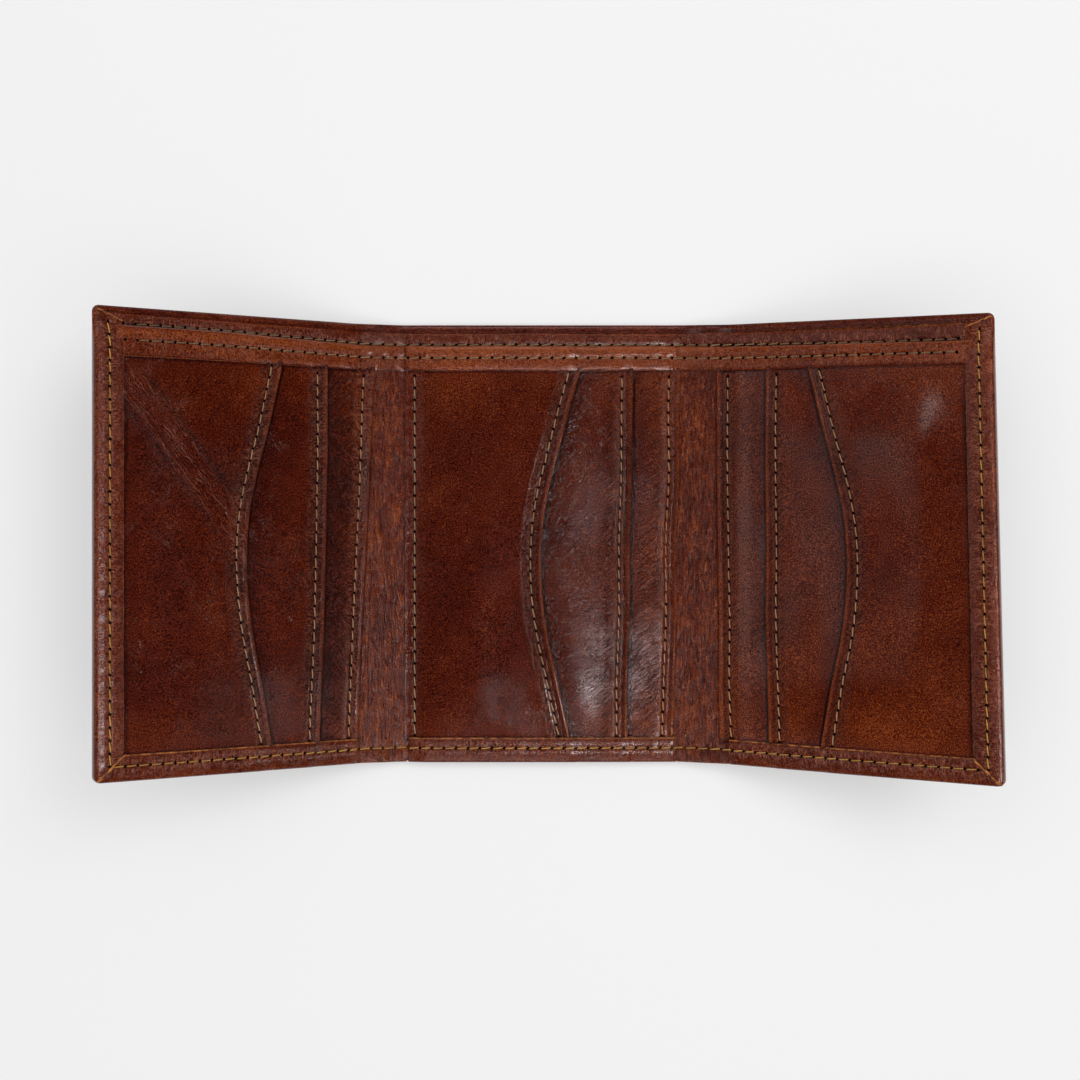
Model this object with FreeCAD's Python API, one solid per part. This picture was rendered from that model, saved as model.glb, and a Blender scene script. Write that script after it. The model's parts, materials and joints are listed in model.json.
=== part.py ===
"""Trifold wallet in leather, lying open on its centre panel with both wings partly raised.

One outer leather sheet is turned over as a hem round the wings and along the bottom. Inside it lie a note
divider and an inner panel, and each of the three panels carries three stepped card pockets. The sheet bends
at two folds. Each fold is a flat spine strip between two parallel bending lines, so that the wallet is
five bodies: left wing, left spine, centre, right spine and right wing.

Frame: millimetres, +Z up. The origin is the middle of the centre panel's outer face, which rests on the
plane Z = 0. +X runs to the right wing and +Y runs to the mouth of the note compartment.

Every panel is first drawn flat in its own frame: u runs from the hinge line, or from the centre panel's
right hinge line, towards the closed side of the pockets; v runs along Y; w is the height above the outer
face of the leather.
"""
import FreeCAD, Part
import math
import os

os.makedirs("parts", exist_ok=True)
V = FreeCAD.Vector

# Outline
HEIGHT = 106.0            # along Y, bottom edge to shell top edge
CENTRE_WIDTH = 66.0       # between the two inner hinge lines
WING_WIDTH = 64.6         # outer hinge line to wing edge
LEFT_SPINE = 10.6         # distance between the two hinge lines of the left fold
RIGHT_SPINE = 12.2        # wider, because the right wing closes over the left one
HINGE_HEIGHT = 3.0        # hinge lines above the outer face
HINGE_GAP = 0.15          # clearance of each sheet's end from its hinge line
CORNER_RADIUS = 1.5       # outer corners of the wings
LEFT_OPEN = 32.0          # fold of the left wing at rest, degrees from flat
RIGHT_OPEN = 28.0         # fold of the right wing at rest, degrees from flat

# Thickness of each layer
SHELL = 0.7
LINING = 0.1
NOTE_GAP = 0.2            # each note compartment, empty
DIVIDER = 0.25
PANEL = 0.2
POCKET_TAIL = 0.12        # fabric behind each pocket
POCKET = 0.45             # pocket leather with its fabric
HEM = 0.5
TRIM = 0.4
FOLD_STRIP = 0.5          # inner leather at a fold
THREAD = 0.15
CARD_SLOT = 0.8           # clear height of a card slot, for a 0.76 mm card
CLEARANCE = 0.1           # between the ends of the inner layers and the turned edges round them

# Places across each panel
POCKET_EDGES = {3: 0.6, 2: 11.2, 1: 30.6}    # mouth of each pocket, 1 at the belly of its curved mouth
POCKET_TURN = 6.0         # leather turned under at a pocket mouth
POCKET_OVERLAP = 6.0      # leather hidden under the next pocket
SIDE_HEM = 5.3            # width of the turned hem on a wing's outer side
OPEN_HEM = 0.6            # the same on the centre panel, which has only a sewn edge there
SLOPE = 8.0               # width over which the pockets rise from their sewn edges
BELLY_V = -4.0            # middle of pocket 1's curved mouth
BELLY_RADIUS = 75.0
BELLY_HALF = 21.0         # the arc ends here and straight flanks go on
FLANK_REACH = 60.0        # the flanks run past both ends of the panel

# Places along each panel
TOP = HEIGHT / 2
BOTTOM = -HEIGHT / 2
LINING_TOP = TOP - 1.0
DIVIDER_TOP = 50.8
PANEL_TOP = 47.0          # top edge of the trim on the inner panel
TRIM_LOW = 40.8
BOTTOM_HEM_TOP = -46.4    # raw edge of the turned hem along the bottom

# Seams
THREAD_WIDTH = 0.6
SEAM_END = 1.0            # a seam stops this far from the end of its sheet
MOUTH_SEAM = 2.4          # pocket mouth to its seam
SIDE_SEAM = 2.2           # wing edge to its hem seam
BOTTOM_SEAM = 3.4         # bottom edge to its hem seam
TRIM_SEAM = 43.7
DIVIDER_SEAM = 47.9

# Heights above the outer face
DIVIDER_LOW = SHELL + LINING + NOTE_GAP
PANEL_LOW = DIVIDER_LOW + DIVIDER + NOTE_GAP
POCKETS_LOW = PANEL_LOW + PANEL
SEWN_TOP = POCKETS_LOW + 3 * POCKET      # top of all layers where they are sewn together
SHELL_TOP = SEWN_TOP + HEM
FOLD_STRIP_TOP = PANEL_LOW + FOLD_STRIP

INNER_BOTTOM = BOTTOM + SHELL + CLEARANCE    # lower end of the layers inside the hem
INNER_TOP = PANEL_TOP - TRIM - CLEARANCE     # upper end of the layers inside the trim
ABOVE = 12.0                                 # higher than any layer of a flat panel
FAR = 200.0                                  # beyond every part


def slab(u0, u1, v0, v1, w0, w1):
    return Part.makeBox(u1 - u0, v1 - v0, w1 - w0, V(u0, v0, w0))


def rectangle(u0, u1, v0, v1, w):
    return Part.makePolygon([V(u0, v0, w), V(u1, v0, w), V(u1, v1, w), V(u0, v1, w), V(u0, v0, w)])


def belly_mouth(shift):
    """Everything on the closed side of pocket 1's curved mouth, moved by shift towards the closed side."""
    apex = POCKET_EDGES[1] + shift
    drop = BELLY_RADIUS - math.sqrt(BELLY_RADIUS**2 - BELLY_HALF**2)
    slope = BELLY_HALF / math.sqrt(BELLY_RADIUS**2 - BELLY_HALF**2)
    flank = drop + slope * (FLANK_REACH - BELLY_HALF)
    low = V(apex - drop, BELLY_V - BELLY_HALF, 0)
    high = V(apex - drop, BELLY_V + BELLY_HALF, 0)
    low_end = V(apex - flank, BELLY_V - FLANK_REACH, 0)
    high_end = V(apex - flank, BELLY_V + FLANK_REACH, 0)
    low_far = V(FAR, low_end.y, 0)
    high_far = V(FAR, high_end.y, 0)
    sides = [
        Part.makeLine(low_end, low),
        Part.Arc(low, V(apex, BELLY_V, 0), high).toShape(),
        Part.makeLine(high, high_end),
        Part.makeLine(high_end, high_far),
        Part.makeLine(high_far, low_far),
        Part.makeLine(low_far, low_end),
    ]
    return Part.Face(Part.Wire(sides)).extrude(V(0, 0, ABOVE))


def behind(pocket, shift=0.0):
    """The region on the closed side of a pocket's mouth, moved by shift towards the closed side."""
    if pocket == 1:
        return belly_mouth(shift)
    return slab(POCKET_EDGES[pocket] + shift, FAR, -FAR, FAR, 0, ABOVE)


def top_seams(end, trim_top):
    """The seam of the trim and, below it in the mouth, the seam of the note divider."""
    seams = []
    for v, w in ((TRIM_SEAM, trim_top), (DIVIDER_SEAM, DIVIDER_LOW + DIVIDER)):
        seams.append(slab(SEAM_END, end, v, v + THREAD_WIDTH, w, w + THREAD))
    return Part.makeCompound(seams)


def bottom_seam(end, w):
    v = BOTTOM + BOTTOM_SEAM
    return slab(SEAM_END, end, v, v + THREAD_WIDTH, w, w + THREAD)


class Panel:
    """The layers of one panel, drawn flat. The centre panel has no hem on its closed side."""

    def __init__(self, width, side_hem):
        self.width = width
        self.side_hem = side_hem
        self.hem_edge = width - (SIDE_HEM if side_hem else OPEN_HEM)
        self.inner_end = width - (SHELL + CLEARANCE if side_hem else HINGE_GAP)

    def mound(self, height, rise):
        """The block below a pocket layer: height at its sewn edges, higher by rise in the middle."""
        base = slab(0, self.inner_end, INNER_BOTTOM, INNER_TOP, 0, height)
        foot = rectangle(0, self.hem_edge, BOTTOM_HEM_TOP, TRIM_LOW, height)
        crown = rectangle(0, self.hem_edge - SLOPE, BOTTOM_HEM_TOP + SLOPE, TRIM_LOW - SLOPE, height + rise)
        return base.fuse(Part.makeLoft([foot, crown], True, True))

    def layer(self, pocket, low, high):
        """A sheet of pocket number pocket, from low to high above the underside of that pocket."""
        order = 4 - pocket
        under = POCKETS_LOW + (order - 1) * POCKET
        rise = order * CARD_SLOT
        return self.mound(under + high, rise).cut(self.mound(under + low, rise))

    def pocket(self, pocket):
        """The leather of a pocket and the fabric tail behind it."""
        tail = self.layer(pocket, 0, POCKET_TAIL).common(behind(pocket, POCKET_TURN))
        face = self.layer(pocket, 0, POCKET).common(behind(pocket)).cut(tail)
        if pocket > 1:
            hidden = POCKET_EDGES[pocket - 1] + POCKET_OVERLAP
            face = face.common(slab(0, hidden, -FAR, FAR, 0, ABOVE))
        return face, tail

    def mouth_thread(self, pocket):
        seam = behind(pocket, MOUTH_SEAM).cut(behind(pocket, MOUTH_SEAM + THREAD_WIDTH))
        return self.seam_layer(pocket).common(seam)

    def seam_layer(self, pocket):
        """A layer as thick as a thread on top of a pocket, between the bottom hem and the trim."""
        stretch = slab(0, FAR, BOTTOM_HEM_TOP + SEAM_END, TRIM_LOW - SEAM_END, 0, ABOVE)
        return self.layer(pocket, POCKET, POCKET + THREAD).common(stretch)

    def pocket_threads(self):
        threads = [self.mouth_thread(pocket) for pocket in POCKET_EDGES]
        if not self.side_hem:
            end = self.width - SIDE_SEAM
            threads.append(self.seam_layer(1).common(slab(end - THREAD_WIDTH, end, -FAR, FAR, 0, ABOVE)))
        return Part.makeCompound(threads)

    def shell(self):
        """The outer leather with its edges turned over: a flat plate, a thin wall and the hem on top."""
        w = self.width
        block = slab(HINGE_GAP, w if self.side_hem else w - HINGE_GAP, BOTTOM, TOP, 0, SHELL_TOP)
        if self.side_hem:
            corners = [e for e in block.Edges if self.is_outer_corner(e)]
            block = block.makeFillet(CORNER_RADIUS, corners)
        inner = w - SHELL if self.side_hem else FAR
        window = w - SIDE_HEM if self.side_hem else FAR
        cavity = slab(-FAR, inner, BOTTOM + SHELL, FAR, SHELL, SEWN_TOP)
        opening = slab(-FAR, window, BOTTOM_HEM_TOP, FAR, SEWN_TOP, FAR)
        return block.cut(cavity).cut(opening)

    def is_outer_corner(self, edge):
        ends = [v.Point for v in edge.Vertexes]
        upright = abs(ends[0].z - ends[1].z) > SHELL
        return upright and all(p.x > self.width - CLEARANCE for p in ends)

    def lining(self):
        return slab(HINGE_GAP, self.inner_end, INNER_BOTTOM, LINING_TOP, SHELL, SHELL + LINING)

    def divider(self):
        low = DIVIDER_LOW
        return slab(HINGE_GAP, self.inner_end, INNER_BOTTOM, DIVIDER_TOP, low, low + DIVIDER)

    def inner_panel(self):
        return slab(HINGE_GAP, self.inner_end, INNER_BOTTOM, INNER_TOP, PANEL_LOW, POCKETS_LOW)

    def trim(self):
        """The strip bound over the top edge of the inner panel and its pockets."""
        end = self.width - (SIDE_HEM + CLEARANCE if self.side_hem else HINGE_GAP)
        flap = slab(HINGE_GAP, end, TRIM_LOW, PANEL_TOP, SEWN_TOP, SEWN_TOP + TRIM)
        wall = slab(HINGE_GAP, end, PANEL_TOP - TRIM, PANEL_TOP, PANEL_LOW, SEWN_TOP)
        return flap.fuse(wall)

    def top_threads(self):
        end = self.width - SEAM_END - (SIDE_HEM if self.side_hem else 0)
        return top_seams(end, SEWN_TOP + TRIM)

    def hem_thread(self):
        end = self.width - (SIDE_SEAM if self.side_hem else SEAM_END)
        bottom = bottom_seam(end, SHELL_TOP)
        if not self.side_hem:
            return bottom
        top = TOP - SEAM_END
        side = slab(end - THREAD_WIDTH, end, BOTTOM + BOTTOM_SEAM, top, SHELL_TOP, SHELL_TOP + THREAD)
        return bottom.fuse(side)

    def nodes(self, name):
        made = {
            "shell_" + name: self.shell(),
            "note_lining_" + name: self.lining(),
            "note_divider_" + name: self.divider(),
            "inner_panel_" + name: self.inner_panel(),
            "top_trim_" + name: self.trim(),
            "hem_thread_" + name: self.hem_thread(),
            "top_thread_" + name: self.top_threads(),
            "pocket_thread_" + name: self.pocket_threads(),
        }
        for pocket in POCKET_EDGES:
            face, tail = self.pocket(pocket)
            made["pocket_%d_%s" % (pocket, name)] = face
            made["pocket_%d_tail_%s" % (pocket, name)] = tail
        return made


def spine_nodes(length, name):
    """The layers of one fold, drawn flat between its two hinge lines."""
    start = HINGE_GAP
    end = length - HINGE_GAP
    strip_top = FOLD_STRIP_TOP
    divider_top = DIVIDER_LOW + DIVIDER
    trim_wall = slab(start, end, PANEL_TOP - TRIM, PANEL_TOP, PANEL_LOW, strip_top)
    trim_flap = slab(start, end, TRIM_LOW, PANEL_TOP, strip_top, strip_top + TRIM)
    return {
        "shell_" + name: slab(start, end, BOTTOM, TOP, 0, SHELL),
        "note_lining_" + name: slab(start, end, INNER_BOTTOM, LINING_TOP, SHELL, SHELL + LINING),
        "note_divider_" + name: slab(start, end, INNER_BOTTOM, DIVIDER_TOP, DIVIDER_LOW, divider_top),
        "inner_leather_" + name: slab(start, end, BOTTOM, INNER_TOP, PANEL_LOW, strip_top),
        "top_trim_" + name: trim_flap.fuse(trim_wall),
        "top_thread_" + name: top_seams(length - SEAM_END, strip_top + TRIM),
        "hem_thread_" + name: bottom_seam(length - SEAM_END, strip_top),
    }


def placed(shape, side, x, z, fold):
    """A flat shape set with its hinge line at (x, z), on side -1 or +1, folded up by fold degrees."""
    shape = shape.copy()
    shape.translate(V(0, 0, -HINGE_HEIGHT))
    if side < 0:
        shape = shape.mirror(V(0, 0, 0), V(1, 0, 0))
    shape.rotate(V(0, 0, 0), V(0, 1, 0), -side * fold)
    shape.translate(V(x, 0, z))
    return shape


def write(nodes, side, x, z, fold):
    for name, shape in nodes.items():
        shape = placed(shape.removeSplitter(), side, x, z, fold)
        solids = shape.Solids
        shape = solids[0] if len(solids) == 1 else Part.makeCompound(solids)
        shape.exportStep("parts/%s.step" % name)


def write_fold_and_wing(side, spine, opened, fold_name, wing_name):
    """One spine strip and its wing. Each of the two hinge lines takes half of the fold."""
    x = side * CENTRE_WIDTH / 2
    half = math.radians(opened / 2)
    outer_x = x + side * spine * math.cos(half)
    outer_z = HINGE_HEIGHT + spine * math.sin(half)
    write(spine_nodes(spine, fold_name), side, x, HINGE_HEIGHT, opened / 2)
    write(Panel(WING_WIDTH, True).nodes(wing_name), side, outer_x, outer_z, opened)


write(Panel(CENTRE_WIDTH, False).nodes("centre"), -1, CENTRE_WIDTH / 2, HINGE_HEIGHT, 0)
write_fold_and_wing(-1, LEFT_SPINE, LEFT_OPEN, "left_fold", "left_wing")
write_fold_and_wing(+1, RIGHT_SPINE, RIGHT_OPEN, "right_fold", "right_wing")
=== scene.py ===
"""The looks of the trifold wallet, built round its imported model.

Lengths are in millimetres until a mesh is made. Every leather sheet is first laid out on the flat wallet:
"along" runs over all the panels from the middle of the centre panel (left is negative), v runs along Y
towards the mouth of the note compartment, and w is the height above the outer face. rest_place() then bends
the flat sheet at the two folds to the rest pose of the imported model. On a panel, u is the distance from its
fold. A pocket's mouth is its open edge.
"""
import json
import math

import bmesh
import bpy
import numpy as np
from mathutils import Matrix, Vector


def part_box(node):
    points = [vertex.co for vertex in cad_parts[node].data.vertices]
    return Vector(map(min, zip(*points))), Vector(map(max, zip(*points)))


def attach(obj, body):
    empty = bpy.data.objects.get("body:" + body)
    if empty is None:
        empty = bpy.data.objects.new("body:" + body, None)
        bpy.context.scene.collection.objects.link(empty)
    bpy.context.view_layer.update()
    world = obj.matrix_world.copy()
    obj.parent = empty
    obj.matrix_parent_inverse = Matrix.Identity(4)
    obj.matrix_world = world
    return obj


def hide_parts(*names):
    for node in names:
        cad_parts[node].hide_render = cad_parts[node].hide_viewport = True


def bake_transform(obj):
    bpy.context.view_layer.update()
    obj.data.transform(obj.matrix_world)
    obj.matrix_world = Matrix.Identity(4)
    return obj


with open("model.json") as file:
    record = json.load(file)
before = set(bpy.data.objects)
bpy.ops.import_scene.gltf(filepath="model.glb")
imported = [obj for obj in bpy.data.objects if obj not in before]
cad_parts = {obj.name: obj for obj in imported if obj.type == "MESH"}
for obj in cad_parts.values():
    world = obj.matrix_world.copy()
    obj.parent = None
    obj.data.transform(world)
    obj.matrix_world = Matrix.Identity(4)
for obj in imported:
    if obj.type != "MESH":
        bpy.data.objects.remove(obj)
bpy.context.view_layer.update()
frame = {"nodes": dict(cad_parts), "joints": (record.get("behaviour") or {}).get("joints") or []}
MM = 0.001
JOINTS = {joint["name"]: joint for joint in frame["joints"]}
LOW, HIGH = (np.array(corner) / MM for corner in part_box("shell_centre"))

# The sheets across the wallet
TOP = HIGH[1]
BOTTOM = LOW[1]
CENTRE_HALF = JOINTS["right_inner_fold"]["pos_m"][0] / MM
HINGE = JOINTS["right_inner_fold"]["pos_m"][2] / MM
TRIM_RAISE = 0.8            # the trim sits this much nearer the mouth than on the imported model
TRIM_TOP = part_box("top_trim_centre")[1].y / MM + TRIM_RAISE
TRIM_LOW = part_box("top_trim_centre")[0].y / MM + TRIM_RAISE
DIVIDER_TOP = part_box("note_divider_centre")[1].y / MM
DIVIDER_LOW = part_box("note_divider_centre")[0].z / MM
STRIP_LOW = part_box("inner_panel_centre")[0].z / MM
POCKET_MOUTHS = {3: 0.6, 2: 11.2, 1: 30.6}
BELLY_V = -4.0              # of the lowest point of pocket 1's curved mouth
BELLY_RADIUS = 75.0
BELLY_HALF = 21.0           # half length of the arc, before the straight flanks
SIDE_HEM = 6.5
BOTTOM_HEM = 6.1
TOP_HEM = 2.3
EDGE_ROUND = 1.5

# Thicknesses and heights
SHELL = 0.8
SHEET = 0.36
STRIP_TOP = 1.85
PLY_GAP = 0.02
CARD_SLOT = 0.45
HEM = 0.5
STRAY = 0.25                # how far a pocket's mouth wanders from its line
PLY = SHEET + PLY_GAP
PLY_STEPS = (0.6, 11.6, 24.5)           # u where one more pocket adds to the sewn layers

# Seams
PITCH = 2.9
MOUTH_SEAM = 2.7
SIDE_SEAM = 3.2
BOTTOM_SEAM = 3.6
TRIM_SEAM = 44.8
DIVIDER_SEAM = 48.1
CLOSED_SEAM = 2.3           # from the sewn closed edge of the centre panel
SEAM_START = BOTTOM + BOTTOM_HEM + 0.3      # of the pockets' seams
AWAY = 9.0                  # stands for "far from any seam"
TURN = 2 * math.pi

# Grids
ROW_STEP = 0.76
WING_OVERLAP = 2.2          # a wing's layers start this far inside the fold
ENDLESS = 999.0
SHEET_INSET = 4.2           # from a wing's edge to the end of the sheets that its hem covers
TRIM_INSET = 4.6
POCKET_INSET = 4.5

# Material slots of the leather pieces
SKIN, CUT_EDGE, LINED = 0, 1, 2


def smooth(t):
    t = np.clip(t, 0.0, 1.0)
    return t * t * (3 - 2 * t)


def hump(x, centre, width):
    return np.exp(-(((x - centre) / width) ** 2))


class Noise:
    """Smooth random values between -1 and 1 over a plane, the same on each run."""

    def __init__(self, seed):
        self.table = np.random.RandomState(seed).uniform(-1, 1, (128, 128))

    def __call__(self, x, y):
        x, y = np.broadcast_arrays(np.asarray(x, float), np.asarray(y, float))
        i, j = np.floor(x).astype(int), np.floor(y).astype(int)
        fx, fy = smooth(x - i), smooth(y - j)
        t = self.table
        low = t[i % 128, j % 128] * (1 - fx) + t[(i + 1) % 128, j % 128] * fx
        high = t[i % 128, (j + 1) % 128] * (1 - fx) + t[(i + 1) % 128, (j + 1) % 128] * fx
        return low * (1 - fy) + high * fy


NOISE = [Noise(seed) for seed in range(8)]


class Fold:
    """One fold of the wallet: its two hinge lines, and how far each is bent at rest."""

    def __init__(self, name, sign):
        inner, outer = JOINTS[name + "_inner_fold"], JOINTS[name + "_outer_fold"]
        a, b = np.array(inner["pos_m"]) / MM, np.array(outer["pos_m"]) / MM
        self.name = name
        self.sign = sign
        self.half = math.radians(-inner["range_deg"][0])
        self.spine = math.hypot(b[0] - a[0], b[2] - a[2])
        self.inner = CENTRE_HALF
        self.outer = CENTRE_HALF + self.spine
        self.middle = CENTRE_HALF + self.spine / 2
        self.reach = self.spine / 2 - 0.1
        self.edge = self.outer + self.wing_width(name + "_wing")

    def wing_width(self, wing):
        """Distance from the outer hinge line to the wing's edge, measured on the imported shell."""
        pivot = np.array(JOINTS[self.name + "_outer_fold"]["pos_m"]) / MM
        mesh = frame["nodes"]["shell_" + wing].data
        points = np.array([vertex.co for vertex in mesh.vertices]) / MM - pivot
        angle = 2 * self.half
        return np.max(self.sign * points[:, 0] * math.cos(angle) + points[:, 2] * math.sin(angle))

    def hinge_weight(self, distance, line):
        return smooth((distance - (line - self.reach)) / (2 * self.reach))


FOLDS = {"left": Fold("left", -1), "right": Fold("right", 1)}


def rest_place(flat):
    """Flat points (along, v, w) at their places at rest: folds bent, and the right wing slightly skewed."""
    p = np.array(flat, float).reshape(-1, 3)
    for fold in FOLDS.values():
        side = p[:, 0] * fold.sign > 0
        distance = p[side, 0] * fold.sign
        a, w = distance.copy(), p[side, 2].copy()
        for line in (fold.outer, fold.inner):
            angle = fold.half * fold.hinge_weight(distance, line)
            x, z = a - line, w - HINGE
            a = line + x * np.cos(angle) - z * np.sin(angle)
            w = HINGE + x * np.sin(angle) + z * np.cos(angle)
        p[side, 0] = a * fold.sign
        p[side, 2] = w
        if fold.sign > 0:
            out = np.maximum(0, distance - CENTRE_HALF) / (fold.edge - CENTRE_HALF)
            p[side, 0] -= 0.025 * p[side, 1] * out**2
            p[side, 1] -= 1.28 * out
    return p


# ---------------------------------------------------------------- the shape of the leather


def spaced(*stretches):
    """Grid lines from (start, end, step) stretches, without doubles."""
    parts = []
    for start, end, step in stretches:
        count = max(1, int(round(abs(end - start) / step)))
        parts.append(np.linspace(start, end, count + 1))
    values = np.unique(np.round(np.concatenate(parts), 4))
    keep = np.concatenate([[True], np.diff(values) > 0.02])
    return values[keep]


def panel_u(along):
    """Which panel each place is on (-1 left wing, 0 centre, 1 right wing, 2 fold) and its u there."""
    along = np.asarray(along, float)
    panel = np.full(along.shape, 2)
    u = np.zeros(along.shape)
    for fold in FOLDS.values():
        on = along * fold.sign > fold.outer - WING_OVERLAP
        panel[on] = fold.sign
        u[on] = (along * fold.sign - fold.outer)[on]
    centre = (along > -CENTRE_HALF + 0.4) & (along < CENTRE_HALF + 0.8)
    panel[centre] = 0
    u[centre] = (CENTRE_HALF - along)[centre]
    return panel, u


def stack_top(along):
    """Height of the sewn layers just below a hem or the trim: higher by one sheet at each pocket's mouth."""
    panel, u = panel_u(along)
    height = np.full(np.shape(along), STRIP_TOP + PLY_GAP)
    for mouth in PLY_STEPS:
        height = height + np.where(panel != 2, PLY * smooth((u - mouth + 0.5) / 1.0), 0)
    return np.where(panel == 0, height - 0.55 * smooth((u - 60) / 5), height)


def belly(v):
    """How far pocket 1's mouth falls back from its belly: an arc with straight flanks."""
    t = np.abs(np.asarray(v, float) - BELLY_V)
    slope = BELLY_HALF / math.sqrt(BELLY_RADIUS**2 - BELLY_HALF**2)
    inside = BELLY_RADIUS - np.sqrt(BELLY_RADIUS**2 - np.minimum(t, BELLY_HALF) ** 2)
    return (inside + slope * np.maximum(0, t - BELLY_HALF)) * np.where(np.asarray(v) > BELLY_V, 0.92, 0.74)


# How far the straight mouths lean towards their fold at the top, over half the height
LEAN = {"left": {3: 2.0, 2: 1.1}, "centre": {3: 0.9, 2: 0.8}, "right": {3: 0.3, 2: 0.3}}
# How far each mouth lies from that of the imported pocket
MOUTH_SHIFT = {"left": {3: -2.7, 2: -2.0, 1: -1.2}, "centre": {3: -0.9, 2: -0.1, 1: 2.0},
               "right": {3: -3.0, 2: -1.2, 1: -0.7}}
PANEL_SEED = {"left": 11, "centre": 47, "right": 83}
STRIP_RISE = {("centre", 2): -0.85, ("centre", 3): -0.65}      # of a pocket towards its mouth
CREASED = {("left", 1): 0.05, ("left", 3): 0.26, ("centre", 2): 0.17, ("centre", 3): 0.22}


def mouth_u(panel, pocket, v):
    """Where a pocket's mouth runs, as u, at each v."""
    base = POCKET_MOUTHS[pocket] + MOUTH_SHIFT[panel][pocket]
    stray = STRAY * NOISE[0](np.asarray(v) / 17 + PANEL_SEED[panel], pocket * 3.7)
    if pocket == 1:
        return base - belly(v) + stray
    return base - LEAN[panel][pocket] * np.asarray(v) / 45 + stray


def panel_along(panel, u):
    """The place along the flat wallet of each u on a panel."""
    if panel == "centre":
        return CENTRE_HALF - u
    fold = FOLDS[panel]
    return fold.sign * (fold.outer + u)


def closed_u(panel):
    """u of the sewn closed side: the wing's edge, or the centre panel's sewn edge."""
    if panel == "centre":
        return 2 * CENTRE_HALF - 0.4
    return FOLDS[panel].edge - FOLDS[panel].outer


def rise(panel, u, v):
    """0 at the sewn sides of a pocket and 1 in the middle, where the slots stand open."""
    hem = SIDE_HEM if panel != "centre" else 1.6
    side = smooth((closed_u(panel) - hem - u) / (11 if panel == "right" else 18))
    low = smooth((v - (BOTTOM + BOTTOM_HEM)) / 18)
    high = smooth((TRIM_LOW - v) / 18)
    return side * low * high


def swell(panel, u, v):
    """Slow waves in the leather, the same for all the layers of a panel."""
    seed = PANEL_SEED[panel]
    return 0.16 * NOISE[1](u / 15 + seed, v / 21) + 0.06 * NOISE[2](u / 6 + seed, v / 9)


def pocket_top(panel, pocket, u, v):
    """Height of the top of a pocket's leather, away from its mouth's own roll and seam."""
    order = 4 - pocket
    edge = STRIP_TOP + order * PLY
    lift = rise(panel, u, v)
    t = np.clip((13.5 - (u - mouth_u(panel, pocket, v))) / 11, 0, 1)
    gape = STRIP_RISE.get((panel, pocket), 0.15) * (0.65 * t + 0.35 * smooth(t))
    height = edge + lift * (order * CARD_SLOT - 0.1 + gape + swell(panel, u, v))
    if panel == "centre":
        height = height - 0.62 * smooth((u - 59) / 6)
        if pocket == 2:
            height = height - 0.32 * lift * smooth((u - mouth_u(panel, 1, v) + 5.5) / 5.5)
    return height


def mouth_relief(q, v, along_seam):
    """What the turned mouth and its seam add to the top: soft ridges, grooves and a pucker at each stitch."""
    ridge = 0.05 * smooth((7.0 - q) / 4.0) + 0.15 * hump(q, 0.55, 0.5)
    groove = 0.16 * hump(q, MOUTH_SEAM, 0.40) + 0.10 * hump(q, 1.5, 0.35)
    pucker = 0.028 * hump(q, MOUTH_SEAM, 1.3) * np.cos(TURN * along_seam / PITCH)
    return ridge - groove - pucker


def wrinkles(along, v):
    """Upright wrinkles of the inner leather where it bends."""
    bend = 0.5 * NOISE[6](along / 6, v / 4)
    deep = NOISE[3](along / 1.0 + bend, v / 6)
    fine = NOISE[4](along / 0.62 + 5 + bend, v / 2.4)
    bubbles = NOISE[5](along / 0.8, v / 1.2 + 40)
    return 0.065 * deep + 0.055 * fine + 0.05 * bubbles


# ---------------------------------------------------------------- meshes


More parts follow.
